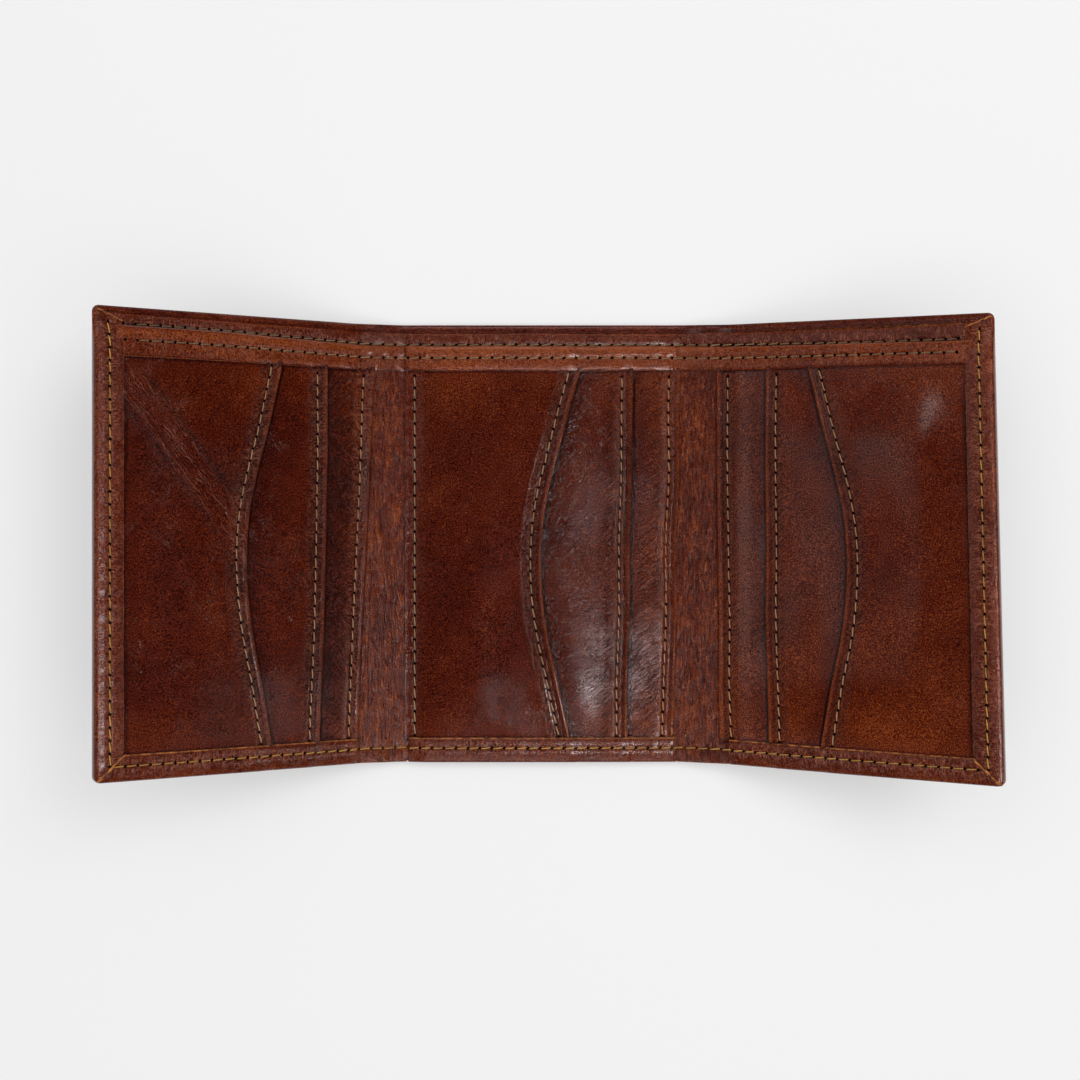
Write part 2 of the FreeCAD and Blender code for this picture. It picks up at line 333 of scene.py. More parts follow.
class Surface:
    """Points, faces and shading values of one closed mesh on the flat wallet."""

    def __init__(self):
        self.points, self.values, self.faces, self.slots = [], [], [], []
        self.count = 0

    def add_points(self, points, across=AWAY, down=0.0, tone=0.0, crease=0.0):
        """Points with their distance across and down the nearest seam, tone and creasing."""
        points = np.asarray(points, float)
        shape = points.shape[:-1]
        values = np.stack([np.broadcast_to(x, shape) for x in (across, down, tone, crease)], -1)
        ids = self.count + np.arange(int(np.prod(shape))).reshape(shape)
        self.points.append(points.reshape(-1, 3))
        self.values.append(values.reshape(-1, 4))
        self.count += ids.size
        return ids

    def add_quads(self, a, b, c, d, slot=0):
        quads = np.stack([x.ravel() for x in (a, b, c, d)], 1)
        self.faces.append(quads)
        self.slots.append(np.full(len(quads), slot))

    def add_grid(self, ids, slot=0):
        """Quads over a grid of point numbers. slot is one number, or one per column of quads."""
        slots = np.broadcast_to(slot, (ids.shape[0] - 1, ids.shape[1] - 1)).ravel()
        quads = np.stack([ids[:-1, :-1], ids[1:, :-1], ids[1:, 1:], ids[:-1, 1:]], -1).reshape(-1, 4)
        self.faces.append(quads)
        self.slots.append(slots)

    def add_loop(self, ids, slot=0):
        """Quads between closed rings of points, one ring per row of ids."""
        self.add_grid(np.concatenate([ids, ids[:, :1]], 1), slot)

    def cap_ends(self, rings):
        """Closes both ends of a swept sheet, whose rings go out along one skin and back along the other."""
        half = rings.shape[1] // 2
        for ring in (rings[0], rings[-1]):
            out, back = ring[:half], ring[half:][::-1]
            self.add_quads(out[:-1], out[1:], back[1:], back[:-1])

    def cap_octagons(self, rings):
        """Closes rings of eight points, each with three quads."""
        for corners in ((0, 1, 2, 3), (0, 3, 4, 7), (4, 5, 6, 7)):
            self.add_quads(*(rings[..., corner] for corner in corners))

    def build(self, name, materials, sharp=50):
        """Makes the mesh at rest. It keeps its flat places and shading values for the materials."""
        flat = np.concatenate(self.points)
        values = np.concatenate(self.values)
        mesh = bpy.data.meshes.new(name)
        mesh.from_pydata((rest_place(flat) * MM).tolist(), [], np.concatenate(self.faces).tolist())
        mesh.polygons.foreach_set("material_index", np.concatenate(self.slots).astype(np.int32))
        layer = mesh.attributes.new("flat", "FLOAT_VECTOR", "POINT")
        layer.data.foreach_set("vector", flat.astype(np.float32).ravel())
        for number, label in enumerate(("across", "down", "tone", "crease")):
            layer = mesh.attributes.new(label, "FLOAT", "POINT")
            layer.data.foreach_set("value", values[:, number].astype(np.float32))
        work = bmesh.new()
        work.from_mesh(mesh)
        bmesh.ops.remove_doubles(work, verts=work.verts, dist=2e-7)
        bmesh.ops.dissolve_degenerate(work, edges=work.edges, dist=1e-7)
        bmesh.ops.recalc_face_normals(work, faces=work.faces)
        work.to_mesh(mesh)
        work.free()
        for material in materials:
            mesh.materials.append(material)
        mesh.shade_smooth()
        mesh.set_sharp_from_angle(angle=math.radians(sharp))
        made = bpy.data.objects.new(name, mesh)
        bpy.context.scene.collection.objects.link(made)
        return made


def settle(piece, bodies, replaced):
    """Puts a piece on its body; a piece that spans the hinge between two bodies stays loose, with its
    transform applied.
    """
    if isinstance(bodies, str):
        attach(piece, bodies)
    else:
        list(hinge_span(bodies))
        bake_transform(piece)
    if replaced:
        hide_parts(*replaced)


def hinge_span(bodies):
    """Start and end of the bend across the hinge that joins two bodies, in metres at rest."""
    name = "left" if "left" in bodies[1] else "right"
    fold = FOLDS[name]
    line = fold.inner if bodies[0] == "centre" else fold.outer
    ends = [[fold.sign * (line + step), 0, HINGE] for step in (-fold.reach, fold.reach)]
    return [tuple(point * MM) for point in rest_place(ends)]


class Zone:
    """A stretch of the wallet that bends across one hinge, from the middle of the centre or of a spine."""

    def __init__(self, fold, is_wing):
        self.fold = fold
        self.is_wing = is_wing
        self.start = fold.middle if is_wing else 0.0
        self.end = fold.edge if is_wing else fold.middle
        self.name = fold.name + ("_wing" if is_wing else "_centre")
        spine = fold.name + "_spine"
        self.bodies = (spine, fold.name + "_wing") if is_wing else ("centre", spine)

    def along(self, distance):
        return self.fold.sign * np.asarray(distance)

    def nodes(self, *kinds):
        """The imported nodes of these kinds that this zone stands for."""
        places = [self.fold.name + "_wing", self.fold.name + "_fold"] if self.is_wing else ["centre"]
        names = [kind + "_" + place for kind in kinds for place in places]
        return [name for name in names if name in frame["nodes"]]

    def columns(self, step=1.3, fine=0.6):
        """Distances from the middle: finer at the bend than on the flat panel."""
        f = self.fold
        if self.is_wing:
            return spaced((self.start, f.outer + f.reach + 1, fine), (f.outer + f.reach + 1, self.end, step))
        return spaced((0, f.inner - f.reach - 1, step), (f.inner - f.reach - 1, self.end, fine))


ZONES = [Zone(fold, is_wing) for fold in FOLDS.values() for is_wing in (False, True)]


# ---------------------------------------------------------------- shell


def hem_profile(under, width, seam, hem):
    """The turned edge in section, as (inset, height): the outer skin, then the inner skin backwards.
    under is the height of the layers below the hem. Without a hem (hem 0) the edge is only rounded."""
    top = under + HEM
    edge = max(SHELL + 0.5, top - 0.55)
    wall = 0.72
    skin = [(0.75, 0.03), (0.3, 0.2), (0.05, 0.6), (0.0, 0.5 * edge + 0.15), (0.08, edge - 0.45),
            (0.4, edge - 0.1), (1.0, edge + 0.05), (min(1.7, 0.6 * width), 0.5 * (edge + top) + 0.05)]
    skin += [(seam - 0.5, top + 0.02), (seam, top - 0.13), (seam + 0.5, top + 0.03)]
    skin += [(0.5 * (seam + width) + 0.3, top + 0.04), (width - 0.28, top - 0.02), (width, top - 0.3)]
    back = [(width, under + 0.01), (width - 0.3, under), (0.5 * (seam + width), under), (seam + 0.5, under),
            (seam, under - 0.02), (seam - 0.5, under - 0.03), (wall + 0.8, 0.5 * (edge + top) - 0.5)]
    heights = [edge - 0.5, edge - 0.62, edge - 0.9, 0.5 * edge + 0.15, 1.0, SHELL + 0.04, SHELL]
    for number in range(len(heights) - 2, -1, -1):      # the hollow of the turn never closes on itself
        heights[number] = max(heights[number], heights[number + 1] + 0.03)
    back += [(wall + step, z) for step, z in zip((0.5, 0.2, 0.0, 0.0, 0.02, 0.2, 0.5), heights)]
    inset, height = np.array(skin + back).T
    if hem < 1:
        t = np.linspace(0, 1, len(skin))
        plain_inset = np.concatenate([0.75 - 0.85 * t, 0.20 + 0.4 * t])
        plain_height = np.concatenate([0.03 + 0.45 * t, 0.55 + (SHELL - 0.55) * t])
        inset = hem * inset + (1 - hem) * plain_inset
        height = hem * height + (1 - hem) * plain_height
    return inset, height


def side_under(v):
    """Height of the layers below a wing's side hem: lower above the trim, where fewer layers run under it."""
    return STRIP_TOP + 3 * PLY + PLY_GAP - 1.8 * smooth((v - 43.5) / 8.5)


def hem_presence(along):
    """1 where the bottom edge is turned over, 0 on the folds, where it is cut away."""
    panel, u = panel_u(along)
    width = np.where(panel == 0, 2 * CENTRE_HALF - 1.2, ENDLESS)
    return np.where((panel != 2) & (u > 0.2) & (u < width), 1.0, 0.0)


def hem_cuts(zone):
    """Two grid lines close together where the bottom hem starts or ends in this zone."""
    f = zone.fold
    end = f.outer + 0.2 if zone.is_wing else CENTRE_HALF - (0.2 if f.sign > 0 else 0.8)
    return [end - 0.06, end + 0.06]


def make_shell(zone, materials):
    """The outer leather of one zone: a plate whose edges are turned over as the hem."""
    outer = zone.end - EDGE_ROUND if zone.is_wing else zone.end
    columns = zone.columns()
    columns = columns[columns < outer - 0.4] if zone.is_wing else columns
    columns = np.unique(np.concatenate([columns, hem_cuts(zone), [outer]]))
    rows = spaced((BOTTOM + EDGE_ROUND, TOP - EDGE_ROUND, ROW_STEP))
    a, v = np.meshgrid(columns, rows, indexing="ij")
    along = zone.along(a)
    bend = sum(hump(np.abs(along), f.middle, 8) * (along * f.sign > 0) for f in FOLDS.values())
    bend = np.minimum(1, bend)
    inside = np.minimum(1, np.minimum(v - BOTTOM, TOP - v) / 6)
    if zone.is_wing:
        inside = inside * np.minimum(1, (zone.end - a) / 6)
    dent = inside * (0.10 * NOISE[5](along / 12, v / 17) + 0.16 * bend * NOISE[3](along / 2.2, v / 19))
    surface = Surface()
    low = surface.add_points(np.stack([along, v, 0.12 * inside + 0.8 * dent], -1), crease=0.35 + 0.5 * bend,
                             tone=0.05 * bend)
    high = surface.add_points(np.stack([along, v, SHELL + 0 * v], -1))
    surface.add_grid(low, SKIN)
    surface.add_grid(high, LINED)
    for end in (0,) if zone.is_wing else (0, -1):
        surface.add_quads(low[end, :-1], low[end, 1:], high[end, 1:], high[end, :-1])
    for stations in rim_stations(zone, columns, rows):
        add_turned_edge(surface, zone, stations, low, high, columns, rows)
    piece = surface.build("shell_" + zone.name, materials, sharp=40)
    settle(piece, zone.bodies, zone.nodes("shell", "note_lining"))


def rim_stations(zone, columns, rows):
    """Stretches of the plate's rim, as stations (column, row, direction, kind): top edge, side, bottom."""
    last, top = len(columns) - 1, len(rows) - 1
    upper = [(i, top, math.pi / 2, "top") for i in range(last + 1)]
    lower = [(i, 0, -math.pi / 2, "bottom") for i in range(last, -1, -1)]
    if not zone.is_wing:
        return [upper, lower]
    turns = np.linspace(math.pi / 2, 0, 6)[1:-1]
    first = [(last, top, turn, "corner") for turn in turns]
    side = [(last, j, 0.0, "side") for j in range(top, -1, -1)]
    second = [(last, 0, -turn, "corner") for turn in turns[::-1]]
    return [upper + first + side + second + lower]


def hem_at(zone, a, v, kind):
    """The hem at one station: height of the layers below, width, seam, room up to the mitre, presence."""
    along = zone.along(a)
    corner = zone.end - a if zone.is_wing else ENDLESS
    if kind == "top":
        return SHELL + 0.02, TOP_HEM, 1.3, corner, 1.0
    if kind == "bottom":
        return float(stack_top(along)), BOTTOM_HEM, BOTTOM_SEAM, corner, float(hem_presence(along))
    mitre = v - BOTTOM if v < 0 else (ENDLESS if kind == "side" else EDGE_ROUND)
    return float(side_under(v)), SIDE_HEM, SIDE_SEAM, mitre, 1.0


def edge_ring(zone, a, v, turn, kind):
    """The turned edge in section at one station: its points, and their across, down and tone."""
    under, width, seam, mitre, hem = hem_at(zone, a, v, kind)
    inset, height = hem_profile(under, width, seam, hem)
    half = len(inset) // 2
    raw = np.zeros(len(inset), bool)
    raw[half - 1:half + 1] = True
    cut = 0.0 if kind == "top" or hem < 1 else min(0.0, mitre - width)
    inset = np.where(raw, np.maximum(inset + cut, min(EDGE_ROUND, width)),
                     np.minimum(inset, width - 0.28 + cut))
    if cut < 0:
        inset = np.where(inset > EDGE_ROUND - 0.01, np.maximum(inset, EDGE_ROUND), inset)
    out = EDGE_ROUND - inset
    da, dv = (part * np.maximum(out, 0) for part in (math.cos(turn), math.sin(turn)))
    if kind in ("side", "corner"):
        da = np.where(out <= 0, out, da)
    if kind != "side":
        dv = np.where(out <= 0, out * np.sign(v), dv)
    along = zone.along(a)
    wave = 0.10 * NOISE[6](along / 5 + 31, v / 5) * smooth((inset - 3) / 2)
    crumple = 0.05 * NOISE[2](along / 1.7 + 7, v / 1.7)
    crumple = crumple + 0.03 * NOISE[4]((along + v) / 0.9, (along - v) / 2.5)
    height = height + hem * (wave + crumple * smooth(inset / 1.5))
    down = v if kind == "side" else along
    across = np.full(len(inset), AWAY)
    if kind in ("side", "bottom"):
        across = np.abs(inset - seam)
        height = height - 0.05 * hump(inset, seam, 1.3) * math.cos(TURN * down / PITCH)
    # A painted highlight on the edge's outer roll.
    tone = (0.0 if kind == "top" else 0.11) + 0.12 * hump(inset, 0.6, 0.7)
    tone = np.where(raw, -0.10 if kind == "side" else 0.10, tone)
    return np.stack([zone.along(a + da), v + dv, height], -1), across, np.full(len(inset), down), tone


def add_turned_edge(surface, zone, stations, low, high, columns, rows):
    """Sweeps the turned edge along a stretch of the rim, joined to the plate's two skins."""
    rings = [edge_ring(zone, columns[i], rows[j], turn, kind) for i, j, turn, kind in stations]
    ids = surface.add_points(*(np.array(part) for part in zip(*rings)), crease=0.3)
    rims = [np.array([skin[i, j] for i, j, _, _ in stations])[:, None] for skin in (low, high)]
    rings = np.concatenate([rims[0], ids, rims[1]], 1)
    half = ids.shape[1] // 2
    surface.add_grid(rings, np.repeat([SKIN, CUT_EDGE, LINED], [half - 1, 2, half])[None, :])
    surface.cap_ends(rings)


# ---------------------------------------------------------------- divider, inner leather and trim


def section_piece(zone, name, inset, section, materials, replaced, cut_edge=False):
    """Sweeps section(along) -> (v, w, across, tone, crease) along a zone, up to inset from a wing's edge.
    With cut_edge its first face shows the cut edge of the leather."""
    along = zone.along(sheet_columns(zone, inset))
    v, w, across, tone, crease = (np.array(part) for part in zip(*(section(float(x)) for x in along)))
    down = np.broadcast_to(along[:, None], v.shape)
    surface = Surface()
    ids = surface.add_points(np.stack([down, v, w], -1), across, down, tone, crease)
    slots = np.full(ids.shape[1], SKIN)
    slots[0] = CUT_EDGE if cut_edge else SKIN
    surface.add_loop(ids, slots[None, :])
    surface.cap_ends(ids)
    settle(surface.build(name, materials), zone.bodies, replaced)


def sheet_columns(zone, inset):
    """Distances of a sheet's grid lines, stopped short of a wing's edge by inset."""
    columns = zone.columns(1.1, 0.3)
    if not zone.is_wing:
        return columns
    end = zone.end - inset
    return np.append(columns[columns < end - 0.3], end)


def fold_mask(along):
    """1 in the folds and 0 on the panels."""
    along = np.asarray(along, float)
    total = 0.0
    for fold in FOLDS.values():
        a = along * fold.sign
        start = fold.inner + (-0.8 if fold.sign < 0 else 0.0)
        total = total + smooth((a - start + 1.0) / 2.0) * smooth((fold.outer + 0.6 - a) / 2.0)
    return total


def trim_lift(along):
    """How far the trim and the divider's seam stand above their line: they run off true on the wings."""
    left, right = FOLDS["left"], FOLDS["right"]
    return smooth((-along - left.inner) / 55) - 0.8 * smooth((along - right.inner) / 55)


def lifted(v, lift):
    """A place on the trim with its lift added: all of it at the top edge and a quarter at the lower edge."""
    return v + lift * (0.25 + 0.75 * (v - TRIM_LOW) / (TRIM_TOP - TRIM_LOW))


def divider_section(along):
    """The note divider in section: a thin sheet with a cut top edge and a seam below it."""
    rows = spaced((BOTTOM + 2, 40, 6), (40, 47, 1.0), (47, DIVIDER_TOP, 0.22))
    gather = fold_mask(along)
    lift = float(trim_lift(along))
    ripple = 0.13 * NOISE[2](along / 1.9 + 60, 0.3 + rows / 9) * smooth((rows - 44) / 4) * (0.35 + gather)
    top = DIVIDER_LOW + 0.28 + (0.55 - 0.35 * gather) * smooth((rows - 40) / 8) + ripple
    top = top - 0.12 * hump(rows, DIVIDER_SEAM, 0.4) - 0.10 * smooth((rows - DIVIDER_TOP + 0.5) / 0.5)
    edge = rows + 0.16 * NOISE[0](along / 14 + 9, 2.0) * smooth((rows - 46) / 4)
    edge = edge + lift * hump(rows, DIVIDER_SEAM, 2.4)
    v = np.concatenate([edge, edge[::-1]])
    across = np.concatenate([np.abs(rows - DIVIDER_SEAM), np.full(len(rows), AWAY)])
    # Painted shade beside the trim's top edge and in the seam's groove, and a painted highlight along the top
    # edge.
    tone = 0.08 - 0.45 * smooth((TRIM_TOP + lift + 0.5 - v) / 0.5) - 0.3 * hump(v, DIVIDER_SEAM + lift, 0.35)
    tone = tone + 0.2 * hump(v, edge[-1], 0.3)
    return v, np.concatenate([top, top[::-1] - 0.30]), across, tone, 0.3 + 0.45 * gather + 0 * v


def strip_section(along):
    """The inner leather in section: wrinkled in the folds, hidden below the pockets on the panels."""
    gather = fold_mask(along)
    base = BOTTOM + 0.7
    rows = spaced((base, base + 2, 0.3), (base + 2, TRIM_LOW + 2, 0.55),
                  (TRIM_LOW + 2, TRIM_TOP - 0.7, 1.5))
    rows = rows - 0.45 * gather * smooth((base + 2 - rows) / 2)
    w = STRIP_TOP + gather * wrinkles(along, rows)
    pull = smooth((rows - BOTTOM + 0.5 * gather) / (1.6 - 0.6 * gather))
    w = w * pull + (1 - pull) * (STRIP_LOW + 0.12)
    w = w - gather * 0.16 * hump(rows, BOTTOM + BOTTOM_SEAM, 0.4)
    low = np.minimum(w - 0.12, STRIP_LOW + 0 * w)
    v = np.concatenate([rows, rows[::-1]])
    across = np.concatenate([np.abs(rows - BOTTOM - BOTTOM_SEAM), np.full(len(rows), AWAY)])
    # Painted shade in the hollows of the wrinkles and painted light on their ridges.
    tone = 0.17 + 1.4 * gather * wrinkles(along, v)
    return v, np.concatenate([w, low[::-1]]), across, tone, 0.2 + 0.14 * gather + 0 * v


def trim_ripple(along, v):
    """Small waves of the trim, deeper where it bends."""
    return (0.05 + 0.2 * fold_mask(along)) * NOISE[3](along / 1.35 + 17, v / 6)


def trim_section(along):
    """The trim in section: bound over the top edge of the inner panel, with its seam and a cut lower edge."""
    under = float(stack_top(along))
    gather = float(fold_mask(along))
    stray = 0.18 * float(NOISE[0](along / 11 + 70, 1.5))
    lift = float(trim_lift(along))
    skin = [(TRIM_LOW, 0.04), (TRIM_LOW + 0.08, 0.26), (TRIM_LOW + 0.5, 0.41), (TRIM_LOW + 1.4, 0.44),
            (TRIM_SEAM - 0.9, 0.45), (TRIM_SEAM - 0.45, 0.40), (TRIM_SEAM, 0.29), (TRIM_SEAM + 0.45, 0.41),
            (TRIM_SEAM + 0.9, 0.48), (TRIM_TOP - 1.5, 0.50), (TRIM_TOP - 0.9, 0.45), (TRIM_TOP - 0.45, 0.30),
            (TRIM_TOP - 0.12, 0.02)]
    back = [(TRIM_TOP - 0.75, -0.25), (TRIM_TOP - 0.85, 0.0), (TRIM_TOP - 1.2, 0.01), (TRIM_TOP - 1.6, 0.01),
            (TRIM_SEAM + 0.9, 0.01), (TRIM_SEAM + 0.45, 0.01), (TRIM_SEAM, 0.0), (TRIM_SEAM - 0.45, 0.01),
            (TRIM_SEAM - 0.9, 0.01), (TRIM_LOW + 1.4, 0.01), (TRIM_LOW + 0.5, 0.01), (TRIM_LOW + 0.2, 0.01),
            (TRIM_LOW + 0.05, 0.02)]
    skin_v, skin_w = np.array(skin).T
    ripple = trim_ripple(along, skin_v) * smooth((skin_v - TRIM_LOW) / 1.5)
    pucker = 0.05 * hump(skin_v, TRIM_SEAM, 1.3) * math.cos(TURN * along / PITCH)
    skin_w = skin_w + ripple * smooth((TRIM_TOP - skin_v) / 0.6) - pucker
    back_v, back_w = np.array(back).T
    edge_v = [TRIM_TOP, TRIM_TOP - 0.1, TRIM_TOP - 0.45, TRIM_TOP - 0.62]
    edge_w = [under - 0.45, STRIP_LOW + 0.1, STRIP_LOW + 0.1, under - 0.6]
    v = lifted(np.concatenate([skin_v, edge_v, back_v]) + stray, lift)
    w = np.concatenate([under + skin_w, edge_w, under + back_w])
    across = np.full(len(v), AWAY)
    seam_side = slice(len(skin) + 2)
    across[seam_side] = np.abs(v[seam_side] - stray - lifted(TRIM_SEAM, lift))
    # Paler over the centre panel, with a painted highlight on the rolled top edge and painted shade along the
    # lower cut edge.
    tone = 0.19 + 0.10 * hump(along, 0, 48) + 0.15 * hump(v, TRIM_TOP - 0.7, 0.8)
    tone = tone - 0.3 * hump(v, TRIM_LOW + stray, 0.3)
    return v, w, across, tone, 0.3 + 0.45 * gather + 0 * v


# ---------------------------------------------------------------- pockets


# Grid lines of a pocket: distances from its mouth, from the mouth above it, and back from a sewn closed edge
MOUTH_LINES = [0.0, 0.05, 0.13, 0.24, 0.4, 0.65, 1.0, 1.4, 1.8, 2.15, 2.45, 2.7, 2.95, 3.25, 3.6, 4.1, 4.7,
               5.3, 6.0, 7.0]
SHADOW_LINES = [-1.5, -1.2, -0.9, -0.6, -0.3, 0.0, 0.8]
CLOSED_LINES = [4.0, 3.2, 2.7, 2.3, 1.9, 1.4, 0.9, 0.5, 0.25, 0.1, 0.0]


def between(start, end, count):
    """Grid lines in even steps from start, left out, to end."""
    t = np.linspace(0, 1, count + 1)[1:, None]
    return np.asarray(start)[None, :] * (1 - t) + end * t


def mouth_length(v, mouth):
    """Distance along a mouth at each of its points."""
    return np.concatenate([[0], np.cumsum(np.hypot(np.diff(v), np.diff(mouth)))])


def pocket_lines(panel, pocket, rows, mouth):
    """u of a pocket's grid lines at each row, from its mouth to its end under a hem or at a seam."""
    end = closed_u(panel) - (POCKET_INSET if panel != "centre" else (6.0 if pocket > 1 else 0.0))
    near = mouth + np.array(MOUTH_LINES)[:, None]
    if pocket > 1:
        shadow = mouth_u(panel, pocket - 1, rows) + np.array(SHADOW_LINES)[:, None]
        return np.concatenate([near, between(near[-1], shadow[0], 6)[:-1], shadow,
                               between(shadow[-1], end, 8)])
    u = np.concatenate([near, between(near[-1], end, 26)])
    if panel == "centre":
        u = u[:-2]
        back = np.repeat(np.array(CLOSED_LINES)[:, None], len(rows), 1)
        u = np.concatenate([u[u[:, 0] < end - 4.5], end - back])
    return u


def pocket_tone(panel, pocket, u, v, q):
    """Tone of a pocket's leather: a painted highlight on the rolled mouth and painted shade in the groove
    behind it, painted shadow beside hems, trim and the mouth above it, and painted light on the right wing.
    """
    # Painted highlight on the mouth's roll and painted shade in the groove behind it.
    tone = 0.08 + 0.14 * smooth((1.1 - q) / 0.5) - 0.14 * hump(q, 1.5, 0.3)
    tone = tone + 0.10 * smooth((np.abs(v - BELLY_V) - 26) / 18)
    if pocket > 1:
        # Painted shadow beside and under the mouth of the pocket above.
        beyond = u - mouth_u(panel, pocket - 1, v[0])
        tone = tone - 0.45 * smooth((beyond + 0.9) / 0.6) - 0.10 * smooth((beyond + 5.5) / 4.5)
    # Painted shadow along the bottom hem, the trim and a wing's side hem.
    tone = tone - 0.35 * smooth((BOTTOM + BOTTOM_HEM + 0.7 - v) / 0.6)
    tone = tone - 0.25 * smooth((v - TRIM_LOW + 0.7) / 0.6)
    if panel != "centre":
        tone = tone - 0.25 * smooth((u - closed_u(panel) + SIDE_HEM + 0.7) / 0.6)
    if (panel, pocket) == ("centre", 3):
        tone = tone + 0.09
    # Painted light: the right wing lighter, more so towards the bottom and less at the top.
    if panel == "right":
        tone = tone + 0.07 + 0.06 * smooth(-v / 45) - 0.05 * smooth(v / 40)
    return tone


def pocket_crease(panel, pocket, u, v, q):
    """How creased a pocket is: along its seam, and on the left wing in a band down from the top corner."""
    crease = 0.25 + 0.35 * hump(q, MOUTH_SEAM, 2.5) + CREASED.get((panel, pocket), 0.0)
    if (panel, pocket) == ("left", 1):
        crease = crease + 0.9 * hump((u - 58) * 0.8 - (v - 38) * 0.6, 0.0, 3.6) * smooth((v + 12) / 14)
    return crease


def make_pocket(panel, pocket, materials):
    """One pocket: a leather sheet with a turned, sewn mouth that runs back to the closed side."""
    rows = spaced((BOTTOM + BOTTOM_HEM - 0.9, TRIM_LOW + 0.9, ROW_STEP))
    mouth = mouth_u(panel, pocket, rows)
    down = mouth_length(rows, mouth)
    down = down - np.interp(SEAM_START, rows, down)
    u = pocket_lines(panel, pocket, rows, mouth)
    v = np.broadcast_to(rows, u.shape)
    down = np.broadcast_to(down, u.shape)
    q = u - mouth           # distance from the mouth
    top = pocket_top(panel, pocket, u, v) + mouth_relief(q, v, down)
    thick = SHEET + (0.42 * rise(panel, mouth, rows) + 0.06) * smooth((6.3 - q) / 0.9)
    across = np.abs(q - MOUTH_SEAM)
    if (panel, pocket) == ("centre", 1):
        back = closed_u(panel) - u
        top = top - 0.12 * hump(back, CLOSED_SEAM, 0.42)
        top = top - 0.05 * hump(back, CLOSED_SEAM, 1.3) * np.cos(TURN * v / PITCH)
        across = np.minimum(across, np.abs(back - CLOSED_SEAM))
        thick = thick * smooth(back / 0.6 + 0.5)
        down = np.where(back < q, v, down)
    radius = thick / 2
    lip = radius * (1 - np.sqrt(np.clip(1 - (1 - np.clip(q / radius, 0, 1)) ** 2, 0, 1)))
    along = panel_along(panel, u)
    surface = Surface()
    upper = surface.add_points(np.stack([along, v, top - lip], -1), across, down,
                               pocket_tone(panel, pocket, u, v, q), pocket_crease(panel, pocket, u, v, q))
    lower = surface.add_points(np.stack([along, v, top - thick + lip], -1))
    surface.add_grid(upper)
    surface.add_grid(lower)
    for side in ((0, slice(None)), (-1, slice(None)), (slice(None), 0), (slice(None), -1)):
        a, b = upper[side], lower[side]
        surface.add_quads(a[:-1], a[1:], b[1:], b[:-1])
    piece = surface.build("pocket_%d_%s" % (pocket, panel), materials, sharp=60)
    place = panel if panel == "centre" else panel + "_wing"
    replaced = ["pocket_%d_%s" % (pocket, place), "pocket_%d_tail_%s" % (pocket, place)]
    settle(piece, pocket_bodies(panel, pocket), replaced)


def pocket_bodies(panel, pocket):
    """The body a pocket rides on, or the two bodies of the hinge it spans if it reaches into a fold."""
    if panel == "centre":
        return {1: ("centre", "left_spine"), 2: "centre", 3: ("centre", "right_spine")}[pocket]
    return (panel + "_spine", panel + "_wing") if pocket == 3 else panel + "_wing"


# ---------------------------------------------------------------- stitches


SEAM_STEP = 0.25            # between the points of a seam's path
TRIM_SHARE = 0.64           # of the trim's lift at the trim's seam
POCKET_STITCH = {"width": 0.27, "height": 0.24, "gap": 0.55}


def first_hole(place):
    """How far it is from a place on a seam to the first needle hole after it."""
    return math.ceil(place / PITCH) * PITCH - place


def stitch_row(surface, line, length, up=1.0, start=0.0, width=0.28, height=0.26, gap=0.46):
    """Single stitches along a seam. line(s) gives points on the flat leather and sideways directions."""
    begin = start + np.arange(int(math.ceil((length - start) / PITCH))) * PITCH + gap / 2
    ring_t = np.array([0.0, 0.06, 0.2, 0.5, 0.8, 0.94, 1.0])
    arch = np.array([-0.08, 0.02, 0.12, 0.17, 0.12, 0.02, -0.08])
    size = np.array([0.25, 0.7, 0.95, 1.0, 0.95, 0.7, 0.25])
    points, sides = line(begin[:, None] + ring_t * (PITCH - gap))
    wobble = NOISE[7](begin / 7.3 + up * 5, 3.1)[:, None]
    slant = (0.10 + 0.05 * wobble) * (ring_t - 0.5) * 2
    turns = np.linspace(0, TURN, 8, endpoint=False)
    spread = 0.5 * width * size[:, None] * np.cos(turns) + slant[..., None]
    rings = points[:, :, None, :] + spread[..., None] * sides[:, :, None, :]
    rings[..., 2] += up * (0.5 * height * size[:, None] * np.sin(turns) + arch[:, None])
    ids = surface.add_points(rings, turns / TURN, (ring_t * (PITCH - gap))[:, None], wobble[..., None])
    for a, b in zip(range(len(ring_t) - 1), range(1, len(ring_t))):
        surface.add_quads(ids[:, a], np.roll(ids[:, a], -1, 1), np.roll(ids[:, b], -1, 1), ids[:, b])
    surface.cap_octagons(ids[:, 0])
    surface.cap_octagons(ids[:, -1])


def path_line(along, v, w):
    """A seam through flat points, as a function of the distance along it, and its length."""
    length = np.concatenate([[0], np.cumsum(np.hypot(np.diff(along), np.diff(v)))])

    def line(s):
        point = np.stack([np.interp(s, length, x) for x in (along, v, w)], -1)
        step = np.stack([np.interp(s + 0.2, length, x) - np.interp(s - 0.2, length, x)
                         for x in (along, v)], -1)
        step /= np.maximum(np.linalg.norm(step, axis=-1, keepdims=True), 1e-9)
        side = np.stack([-step[..., 1], step[..., 0], np.zeros(step.shape[:-1])], -1)
        return point, side

    return line, length[-1]


def zone_stitches(surface, zone, v, height, inset, up=1.0, share=0.0):
    """Stitches across a zone at one v. share is how far the seam follows the trim's lift."""
    end = zone.end - inset - PITCH if zone.is_wing else zone.end
    along = zone.along(np.arange(zone.start, end + PITCH, SEAM_STEP))
    line, _ = path_line(along, v + share * trim_lift(along), height(along))
    stitch_row(surface, line, end - zone.start, up, first_hole(zone.start))


